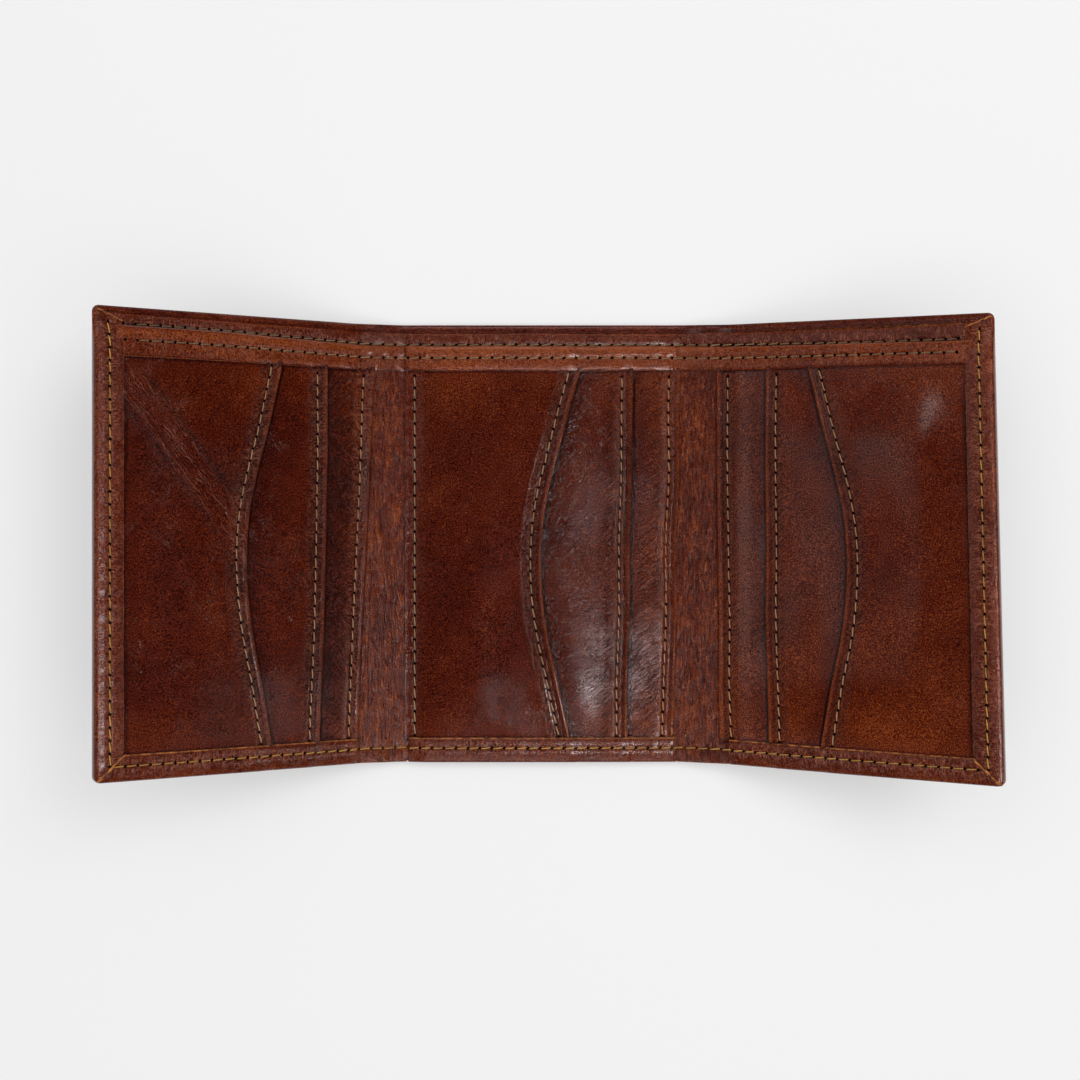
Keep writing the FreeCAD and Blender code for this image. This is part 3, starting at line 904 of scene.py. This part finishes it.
def make_hem_stitches(zone, material):
    """Golden stitches of the hem, on the inside and again on the outside where the thread comes through."""
    surface = Surface()
    seam_v = BOTTOM + BOTTOM_SEAM

    def inside(along):
        over_fold = STRIP_TOP + fold_mask(along) * wrinkles(along, seam_v) - 0.10
        return np.where(hem_presence(along) > 0, stack_top(along) + HEM - 0.10, over_fold)

    zone_stitches(surface, zone, seam_v, inside, SIDE_SEAM)
    zone_stitches(surface, zone, seam_v, lambda along: 0.08 + 0 * along, SIDE_SEAM, up=-1.0)
    if zone.is_wing:
        v = np.arange(seam_v, TOP - 1.4, SEAM_STEP)
        along = np.full(len(v), zone.along(zone.end - SIDE_SEAM))
        for up, height in ((1.0, side_under(v) + HEM - 0.10), (-1.0, 0.06 + 0 * v)):
            line, length = path_line(along, v, height)
            stitch_row(surface, line, length - PITCH, up, first_hole(seam_v))
    piece = surface.build("hem_thread_" + zone.name, [material], sharp=80)
    settle(piece, zone.bodies, zone.nodes("hem_thread"))


def make_top_stitches(zone, material):
    """Dark stitches along the trim and the note divider."""
    surface = Surface()

    def on_trim(along):
        return stack_top(along) + 0.30 + trim_ripple(along, TRIM_SEAM)

    def on_divider(along):
        return DIVIDER_LOW + 0.75 - 0.35 * fold_mask(along)

    zone_stitches(surface, zone, TRIM_SEAM, on_trim, SIDE_HEM + 0.4, share=TRIM_SHARE)
    zone_stitches(surface, zone, DIVIDER_SEAM, on_divider, SIDE_HEM + 0.4, share=1.0)
    piece = surface.build("top_thread_" + zone.name, [material], sharp=80)
    settle(piece, zone.bodies, zone.nodes("top_thread"))


def make_pocket_stitches(panel, material):
    """Olive stitches along the three mouths of a panel, and along the centre panel's sewn edge."""
    pieces = {}
    v = np.arange(SEAM_START, TRIM_LOW + 0.4, SEAM_STEP)
    for pocket in POCKET_MOUTHS:
        mouth = mouth_u(panel, pocket, v)
        u = mouth + MOUTH_SEAM
        relief = mouth_relief(MOUTH_SEAM, v, mouth_length(v, mouth))
        height = pocket_top(panel, pocket, u, v) + relief + 0.04
        surface = pieces.setdefault(pocket_bodies(panel, pocket), Surface())
        line, length = path_line(panel_along(panel, u), v, height)
        stitch_row(surface, line, length - PITCH, **POCKET_STITCH)
    if panel == "centre":
        u = np.full(len(v), closed_u(panel) - CLOSED_SEAM)
        line, length = path_line(panel_along(panel, u), v, pocket_top(panel, 1, u, v) - 0.08)
        surface = pieces[pocket_bodies(panel, 1)]
        stitch_row(surface, line, length - PITCH, start=first_hole(SEAM_START), **POCKET_STITCH)
    place = panel if panel == "centre" else panel + "_wing"
    for number, (bodies, surface) in enumerate(pieces.items()):
        piece = surface.build("pocket_thread_%s_%d" % (panel, number + 1), [material], sharp=80)
        settle(piece, bodies, ["pocket_thread_" + place] if number == 0 else [])


def cord(surface, distance, zone, v, w, width, height, seed):
    """A thin frayed strip of cut leather, at distances from a wing's edge, tapered at its ends."""
    line, length = path_line(zone.along(zone.end - distance), v, w)
    s = np.arange(0, length, 0.22)
    centre, side = line(s)
    taper = smooth(np.minimum(s, length - s) / 0.8 + 0.15)
    spread = width * taper * (1 + 0.45 * NOISE[4](s / 0.5, seed))
    depth = height * taper * (1 + 0.4 * NOISE[5](s / 0.4, seed + 9))
    centre = centre + side * (0.16 * NOISE[6](s / 0.9, seed + 5))[:, None]
    turns = np.linspace(0, TURN, 8, endpoint=False)
    rings = centre[:, None, :] + (spread[:, None] * 0.5 * np.cos(turns))[..., None] * side[:, None, :]
    rings[..., 2] += depth[:, None] * 0.5 * np.sin(turns)
    ids = surface.add_points(rings, tone=0.14)
    surface.add_loop(ids)
    surface.cap_octagons(ids[0])
    surface.cap_octagons(ids[-1])


def make_corner_edges(zone, material):
    """The frayed cut edges where a wing's hems meet at its corners, and along the start of the top hem."""
    surface = Surface()
    inset = np.linspace(0.35, SIDE_HEM + 0.3, 30)
    drop = 0.5 * (1 - smooth((inset - 0.6) / 1.2))
    v = BOTTOM + inset * BOTTOM_HEM / SIDE_HEM
    tip = slice(7)
    cord(surface, inset, zone, v, side_under(v) + HEM + 0.04 - drop, 0.42, 0.22, 3)
    cord(surface, inset[tip], zone, v[tip], (side_under(v) + HEM - drop)[tip], 0.8, 0.35, 8)
    v = TOP - 0.5 - inset * 0.42
    cord(surface, inset, zone, v, side_under(v) + HEM + 0.03 - drop, 0.36, 0.2, 13)
    run = np.linspace(SIDE_HEM + 0.2, SIDE_HEM + 17, 60)
    cord(surface, run, zone, TOP - TOP_HEM - 0.03 + 0 * run, SHELL + HEM + 0.02 + 0 * run, 0.16, 0.14, 17)
    piece = surface.build("corner_edges_" + zone.name, [material], sharp=80)
    settle(piece, zone.bodies[1], [])


# ---------------------------------------------------------------- materials


class Nodes:
    """Adds nodes to a node tree. Each method gives the output of the node it adds."""

    def __init__(self, tree):
        self.tree = tree

    def node(self, kind, settings=None, **inputs):
        made = self.tree.nodes.new(kind)
        for key, value in (settings or {}).items():
            setattr(made, key, value)
        for key, value in inputs.items():
            self.feed(made.inputs[key.replace("_", " ")], value)
        return made

    def feed(self, socket, value):
        if isinstance(value, bpy.types.NodeSocket):
            self.tree.links.new(value, socket)
        else:
            socket.default_value = value

    def math(self, operation, a, b=0.0, c=0.0):
        made = self.node("ShaderNodeMath", {"operation": operation})
        for socket, value in zip(made.inputs, (a, b, c)):
            self.feed(socket, value)
        return made.outputs[0]

    def fade(self, value, start, end, low=0.0, high=1.0):
        """low before start, high after end, and smooth between them."""
        made = self.node("ShaderNodeMapRange", {"interpolation_type": "SMOOTHSTEP"}, Value=value)
        for key, number in (("From Min", start), ("From Max", end), ("To Min", low), ("To Max", high)):
            made.inputs[key].default_value = number
        return made.outputs["Result"]

    def scaled(self, place, scale, turn=0.0):
        """Turned about Z first, then scaled."""
        turned = self.node("ShaderNodeMapping", Vector=place)
        turned.inputs["Rotation"].default_value = (0, 0, turn)
        made = self.node("ShaderNodeMapping", Vector=turned.outputs["Vector"])
        made.inputs["Scale"].default_value = scale
        return made.outputs["Vector"]

    def noise(self, place, scale, detail=3.0, roughness=0.55, distortion=0.0):
        made = self.node("ShaderNodeTexNoise", Vector=place, Scale=scale, Detail=detail, Roughness=roughness,
                         Distortion=distortion)
        return made.outputs["Fac"]

    def cells(self, place, scale):
        return self.node("ShaderNodeTexVoronoi", Vector=place, Scale=scale).outputs["Distance"]

    def ramp(self, value, stops):
        made = self.node("ShaderNodeValToRGB", Fac=value)
        ramp = made.color_ramp
        while len(ramp.elements) < len(stops):
            ramp.elements.new(0.5)
        for element, (position, colour) in zip(ramp.elements, stops):
            element.position = position
            element.color = (*colour, 1)
        return made.outputs["Color"]

    def mix(self, factor, a, b):
        """Colour a where factor is 0 and b where it is 1."""
        made = self.node("ShaderNodeMix", {"data_type": "RGBA"})
        colours = [x if isinstance(x, bpy.types.NodeSocket) else (*x, 1) for x in (a, b)]
        for number, value in zip((0, 6, 7), (factor, *colours)):
            self.feed(made.inputs[number], value)
        return made.outputs[2]

    def mix_shaders(self, factor, a, b):
        made = self.node("ShaderNodeMixShader")
        for socket, value in zip(made.inputs, (factor, a, b)):
            self.feed(socket, value)
        return made.outputs[0]

    def bump(self, height, distance, strength=1.0):
        made = self.node("ShaderNodeBump", Height=height, Distance=distance, Strength=strength)
        return made.outputs["Normal"]


class Shader(Nodes):
    """The nodes of a new material."""

    def __init__(self, name):
        self.material = bpy.data.materials.new(name)
        self.material.use_nodes = True
        super().__init__(self.material.node_tree)

    def value(self, label):
        """A shading value of the mesh."""
        return self.node("ShaderNodeAttribute", {"attribute_name": label}).outputs["Fac"]

    def place(self):
        """The place on the flat wallet, in millimetres."""
        return self.node("ShaderNodeAttribute", {"attribute_name": "flat"}).outputs["Vector"]

    def set(self, **inputs):
        for key, value in inputs.items():
            self.feed(self.tree.nodes["Principled BSDF"].inputs[key.replace("_", " ")], value)


def hair_lines(s, place, turn, mask, thin=0.002, thick=0.013):
    """Thin lines that run roughly one way, where mask allows."""
    bend = s.node("ShaderNodeVectorMath", {"operation": "MULTIPLY_ADD"})
    sway = s.node("ShaderNodeTexNoise", Vector=place, Scale=0.22, Detail=2.0)
    for socket, value in zip(bend.inputs, (sway.outputs["Color"], (2.2, 2.2, 0.0), place)):
        s.feed(socket, value)
    wave = s.noise(s.scaled(bend.outputs[0], (0.08, 1.35, 0.0), turn), 1.0, 2.0, 0.5)
    ridge = s.math("ABSOLUTE", s.math("SUBTRACT", wave, 0.5))
    return s.math("MULTIPLY", s.fade(ridge, thin, thick, 1.0, 0.0), mask)


def seam_puckers(s, across, down, place):
    """Short pale creases that cross a seam, here and there."""
    stretched = s.node("ShaderNodeCombineXYZ", X=s.math("MULTIPLY", down, 1.5),
                       Y=s.math("MULTIPLY", across, 0.42))
    wave = s.noise(stretched.outputs[0], 1.0, 3.0, 0.6, 0.6)
    ridge = s.math("ABSOLUTE", s.math("SUBTRACT", wave, 0.5))
    near = s.fade(across, 0.6, 3.2, 1.0, 0.0)
    near = s.math("MULTIPLY", near, s.fade(s.noise(place, 0.4, 2.0), 0.36, 0.52))
    return s.math("MULTIPLY", s.fade(ridge, 0.010, 0.042, 1.0, 0.0), near)


def needle_holes(s, across, down):
    """1 in the needle holes between the stitches of a seam."""
    step = s.math("FRACT", s.math("DIVIDE", down, PITCH))
    nearest = s.math("SUBTRACT", 0.5, s.math("ABSOLUTE", s.math("SUBTRACT", step, 0.5)))
    nearest = s.math("MULTIPLY", nearest, 0.75 * PITCH)
    distance = s.math("SQRT", s.math("ADD", s.math("POWER", across, 2.0), s.math("POWER", nearest, 2.0)))
    return s.fade(distance, 0.24, 0.42, 1.0, 0.0)


# The leather's colour from its darkest to its palest places, and the depth of its relief in metres
LEATHER_TONES = [(0.12, (0.012, 0.0008, 0.0003)), (0.38, (0.032, 0.0021, 0.0004)),
                 (0.58, (0.070, 0.0060, 0.0009)), (0.78, (0.135, 0.0185, 0.0026)),
                 (1.0, (0.270, 0.055, 0.0080))]
# The last colour here is painted shade, for the needle holes and the dark grooves.
PORE, PALE_LINE, HOLE_AND_GROOVE_SHADE = (0.008, 0.0009, 0.0005), (0.34, 0.10, 0.052), (0.002, 0.0006, 0.0003)
RELIEF = 0.000024


def leather(name, shade=0.0, gloss=0.36, puckered=1.0, gathered=0.0, sheen=0.55):
    """Glossy pull-up leather: mottled from near black to orange-brown, with pores and creases, painted shade
    in its needle holes and dark grooves, and painted shade and light on its upright wrinkles.
    puckered is how strongly its seams pucker it, and gathered how finely it is wrinkled upright."""
    s = Shader(name)
    place = s.place()
    tone, crease, across, down = (s.value(label) for label in ("tone", "crease", "across", "down"))
    mottle = s.noise(place, 0.30, 3.0, 0.5)
    grain = s.noise(place, 2.1, 2.0, 0.6)
    speck = s.noise(place, 3.3, 1.0, 0.5)
    pores = s.fade(s.cells(place, 1.75), 0.12, 0.36)
    folds = s.noise(s.scaled(place, (2.2, 0.33, 0.0)), 1.0, 4.0, 0.62, 0.8)
    mixed = s.math("ADD", tone, shade - 0.49)
    # Where the leather is gathered, the colour of the upright wrinkles follows their relief: painted shade in
    # the hollows and painted light on the ridges.
    for part, share in ((s.noise(place, 0.06, 3.0), 0.42), (mottle, 0.12), (grain, 0.24), (speck, 1.20),
                        (s.math("SUBTRACT", folds, 0.5), 1.1 * gathered)):
        mixed = s.math("MULTIPLY_ADD", part, share, mixed)
    colour = s.ramp(mixed, LEATHER_TONES)
    colour = s.mix(s.fade(pores, 0.0, 1.0, 0.85, 0.0), colour, PORE)
    hairs = hair_lines(s, place, 0.93, s.fade(crease, 0.42, 0.85))
    in_places = s.math("MULTIPLY", crease, s.fade(s.noise(place, 0.16, 2.0), 0.50, 0.64))
    fine = hair_lines(s, s.scaled(place, (2.1, 2.1, 1.0), 1.2), -0.4, in_places)
    puckers = s.math("MULTIPLY", seam_puckers(s, across, down, place), puckered)
    lines = s.math("MAXIMUM", s.math("MAXIMUM", hairs, s.math("MULTIPLY", fine, 0.6)), puckers)
    colour = s.mix(s.math("MULTIPLY", lines, 0.6), colour, PALE_LINE)
    half_creased = s.math("MULTIPLY", s.fade(crease, 0.36, 0.52), s.fade(crease, 0.62, 0.8, 1.0, 0.0))
    grooves = hair_lines(s, s.scaled(place, (2.0, 2.0, 1.0)), -0.7, half_creased, 0.010, 0.045)
    hole = needle_holes(s, across, down)
    # Painted shade in the needle holes and the dark grooves, which also dims their shine.
    dark = s.math("MAXIMUM", hole, s.math("MULTIPLY", grooves, 0.6))
    colour = s.mix(dark, colour, HOLE_AND_GROOVE_SHADE)
    height = s.math("MULTIPLY", pores, 0.45)
    for part, share in ((speck, 0.5), (grain, 0.6), (lines, 2.2), (folds, 9.0 * gathered), (grooves, -2.5),
                        (hole, -5.0), (s.fade(across, 0.1, 0.8, 1.0, 0.0), -1.0)):
        height = s.math("MULTIPLY_ADD", part, share, height)
    shine = s.math("MULTIPLY", s.fade(pores, 0.0, 1.0, 0.3 * sheen, sheen), s.fade(speck, 0.3, 0.6, 0.6, 1.1))
    shine = s.math("MULTIPLY", shine, s.math("SUBTRACT", 1.0, dark))
    rough = s.math("MULTIPLY_ADD", hole, 0.4, s.fade(mottle, 0.3, 0.75, gloss - 0.02, gloss + 0.03))
    s.set(Base_Color=colour, Roughness=rough, Normal=s.bump(height, RELIEF), IOR=1.5, Coat_Weight=0.03,
          Coat_Roughness=0.14, Specular_IOR_Level=shine)
    return s.material


def raw_edge():
    """The cut edge of the leather: orange-tan fibres, stained dark in places."""
    s = Shader("raw_edge")
    place = s.place()
    blotch = s.noise(place, 0.9, 4.0)
    fibre = s.noise(s.scaled(place, (3.0, 3.0, 9.0)), 1.0, 4.0)
    mixed = s.math("MULTIPLY_ADD", blotch, 0.7, s.math("MULTIPLY", fibre, 0.35))
    mixed = s.math("ADD", mixed, s.value("tone"))
    colour = s.ramp(mixed, [(0.44, (0.012, 0.003, 0.0015)), (0.58, (0.16, 0.040, 0.010)),
                            (0.76, (0.52, 0.18, 0.035))])
    s.set(Base_Color=colour, Roughness=0.75, Normal=s.bump(fibre, 0.00008, 0.8))
    return s.material


def woven(name, dark, light):
    """Plain woven fabric."""
    s = Shader(name)
    place = s.place()
    waves = []
    for direction in ("X", "Y"):
        wave = s.node("ShaderNodeTexWave", {"bands_direction": direction}, Vector=place, Scale=0.85)
        waves.append(wave.outputs["Fac"])
    weave = s.math("MULTIPLY", waves[0], waves[1])
    s.set(Base_Color=s.mix(weave, dark, light), Roughness=0.85, Normal=s.bump(weave, 0.00012, 0.9),
          Sheen_Weight=0.3)
    return s.material


def thread(name, dark, light):
    """Waxed sewing thread of twisted plies."""
    s = Shader(name)
    around, down, tint = s.value("across"), s.value("down"), s.value("tone")
    twist = s.math("FRACT", s.math("ADD", s.math("MULTIPLY", around, 2.0), s.math("MULTIPLY", down, 2.1)))
    ply = s.math("SINE", s.math("MULTIPLY", twist, math.pi))
    blotch = s.noise(s.place(), 0.8, 3.0)
    factor = s.math("MULTIPLY_ADD", ply, 0.45, s.math("MULTIPLY", blotch, 0.5))
    factor = s.math("MULTIPLY_ADD", tint, 0.25, factor)
    s.set(Base_Color=s.mix(factor, dark, light), Roughness=0.5, Normal=s.bump(ply, 0.00006, 0.8),
          Sheen_Weight=0.15)
    return s.material


SHELL_LEATHER = leather("shell_leather", 0.02, 0.28, 1.4, 0.08)
POCKET_LEATHER = leather("pocket_leather", -0.04, 0.18, 0.22)
TRIM_LEATHER = leather("trim_leather", 0.05, 0.25, 1.0, 0.06, 0.46)
# The left wing's pockets: a darker copy of the pocket leather as painted shade, with more puckered seams.
WORN_AND_SHADED_LEATHER = leather("worn_pocket_leather", -0.065, 0.21, 0.75)
FOLD_LEATHER = leather("fold_leather", -0.03, 0.27, 0.3, 1.3, 0.36)
RAW_EDGE = raw_edge()
LINING = woven("lining_fabric", (0.006, 0.003, 0.002), (0.03, 0.014, 0.009))
GOLD = thread("gold_thread", (0.20, 0.085, 0.010), (0.72, 0.40, 0.055))
BRONZE = thread("top_thread", (0.07, 0.036, 0.012), (0.36, 0.22, 0.09))
OLIVE = thread("olive_thread", (0.15, 0.080, 0.034), (0.56, 0.36, 0.19))

for zone in ZONES:
    make_shell(zone, [SHELL_LEATHER, RAW_EDGE, LINING])
    for kind, inset, section, material, slot in (
            ("note_divider", SHEET_INSET, divider_section, SHELL_LEATHER, "divider_leather"),
            ("inner_leather", SHEET_INSET, strip_section, FOLD_LEATHER, "fold_leather"),
            ("top_trim", TRIM_INSET, trim_section, TRIM_LEATHER, "trim_leather")):
        replaced = zone.nodes(kind, "inner_panel") if kind == "inner_leather" else zone.nodes(kind)
        section_piece(zone, kind + "_" + zone.name, inset, section, [material, RAW_EDGE], replaced,
                      cut_edge=kind == "top_trim")
    make_hem_stitches(zone, GOLD)
    if zone.is_wing:
        make_corner_edges(zone, RAW_EDGE)
    make_top_stitches(zone, BRONZE)
for panel in ("left", "centre", "right"):
    for pocket in POCKET_MOUTHS:
        make_pocket(panel, pocket, [WORN_AND_SHADED_LEATHER if panel == "left" else POCKET_LEATHER])
    make_pocket_stitches(panel, OLIVE)


# ---------------------------------------------------------------- floor, light and camera


BACKDROP = 0.90             # brightness of the backdrop, which the floor meets far from the wallet
FILL = 0.30                 # brightness of the studio as even light
DARK = 0.015                # brightness of the studio in reflections, between the soft boxes
FLOOR_SIZE, FLOOR_Z = 3.0, -0.0006
# Soft boxes as the glossy leather sees them: (tilt from overhead to -X, tilt to +Y, half width, strength)
REFLECTIONS = [(-14.5, -15, 6.2, 33.0), (56, 0, 10, 0.9), (31, 17, 6, 3.0), (-63, -13, 4, 11.0),
               (0, 50, 14, 2.2), (0, -52, 14, 1.7)]


def make_floor():
    """A plain floor that is lit near the wallet and passes into the backdrop far from it."""
    mesh = bpy.data.meshes.new("floor")
    corners = [(x * FLOOR_SIZE, y * FLOOR_SIZE, FLOOR_Z) for x, y in ((-1, -1), (1, -1), (1, 1), (-1, 1))]
    mesh.from_pydata(corners, [], [(0, 1, 2, 3)])
    floor = bpy.data.objects.new("floor", mesh)
    bpy.context.scene.collection.objects.link(floor)
    s = Shader("floor_paint")
    away = s.node("ShaderNodeVectorMath", {"operation": "LENGTH"})
    s.feed(away.inputs[0], s.node("ShaderNodeNewGeometry").outputs["Position"])
    away = away.outputs["Value"]
    s.set(Base_Color=s.mix(s.fade(away, 0.25, 1.4), (0.62, 0.62, 0.62), (0.0, 0.0, 0.0)), Roughness=0.9,
          Specular_IOR_Level=0.0, Emission_Color=(1, 1, 1, 1),
          Emission_Strength=s.fade(away, 0.25, 1.4, 0.33, BACKDROP))
    mesh.materials.append(s.material)


def make_light(name, place, size, power):
    """A square softbox for even light only: what the leather reflects comes from the world."""
    data = bpy.data.lights.new(name, "AREA")
    data.size = size
    data.energy = power
    light = bpy.data.objects.new(name, data)
    light.location = place
    light.rotation_euler = (-Vector(place)).to_track_quat("-Z", "Y").to_euler()
    light.visible_glossy = False
    bpy.context.scene.collection.objects.link(light)


def reflected_boxes(nodes):
    """Brightness of the studio in each direction, as a sum of soft round patches."""
    place = nodes.node("ShaderNodeTexCoord").outputs["Generated"]
    total = DARK
    for left, back, half, strength in REFLECTIONS:
        x, y = -math.sin(math.radians(left)), math.sin(math.radians(back))
        dot = nodes.node("ShaderNodeVectorMath", {"operation": "DOT_PRODUCT"})
        for socket, value in zip(dot.inputs, (place, (x, y, math.sqrt(max(0.0, 1 - x * x - y * y))))):
            nodes.feed(socket, value)
        start, end = (math.cos(math.radians(half * share)) for share in (1.35, 0.45))
        total = nodes.math("ADD", total, nodes.fade(dot.outputs["Value"], start, end, 0.0, strength))
    return total


def make_world():
    """Pale to the camera and an even soft fill; what the leather reflects is dark but for the soft boxes."""
    world = bpy.data.worlds.new("world")
    bpy.context.scene.world = world
    world.use_nodes = True
    world.cycles.sampling_method = "NONE"      # so that each ray sees the world meant for it
    nodes = Nodes(world.node_tree)
    nodes.tree.nodes.clear()
    path = nodes.node("ShaderNodeLightPath")
    seen, reflected, fill = (nodes.node("ShaderNodeBackground", Color=(1, 1, 1, 1), Strength=strength)
                             for strength in (BACKDROP, reflected_boxes(nodes), FILL))
    light = nodes.mix_shaders(path.outputs["Is Glossy Ray"], fill.outputs[0], reflected.outputs[0])
    light = nodes.mix_shaders(path.outputs["Is Camera Ray"], light, seen.outputs[0])
    nodes.node("ShaderNodeOutputWorld", Surface=light)


def make_camera():
    """Straight above the wallet, as in the photograph."""
    data = bpy.data.cameras.new("camera")
    data.lens = 57.66
    data.sensor_width = 36.0
    data.clip_start = 0.01
    camera = bpy.data.objects.new("camera", data)
    camera.location = (0.0, 0.00085, 0.421)
    bpy.context.scene.collection.objects.link(camera)
    bpy.context.scene.camera = camera


make_floor()
make_world()
make_light("overhead", (0.0, 0.0, 1.1), 1.7, 10.0)
make_light("key", (0.46, 0.36, 0.95), 0.5, 2.3)
make_camera()
bpy.context.scene.view_settings.view_transform = "Standard"
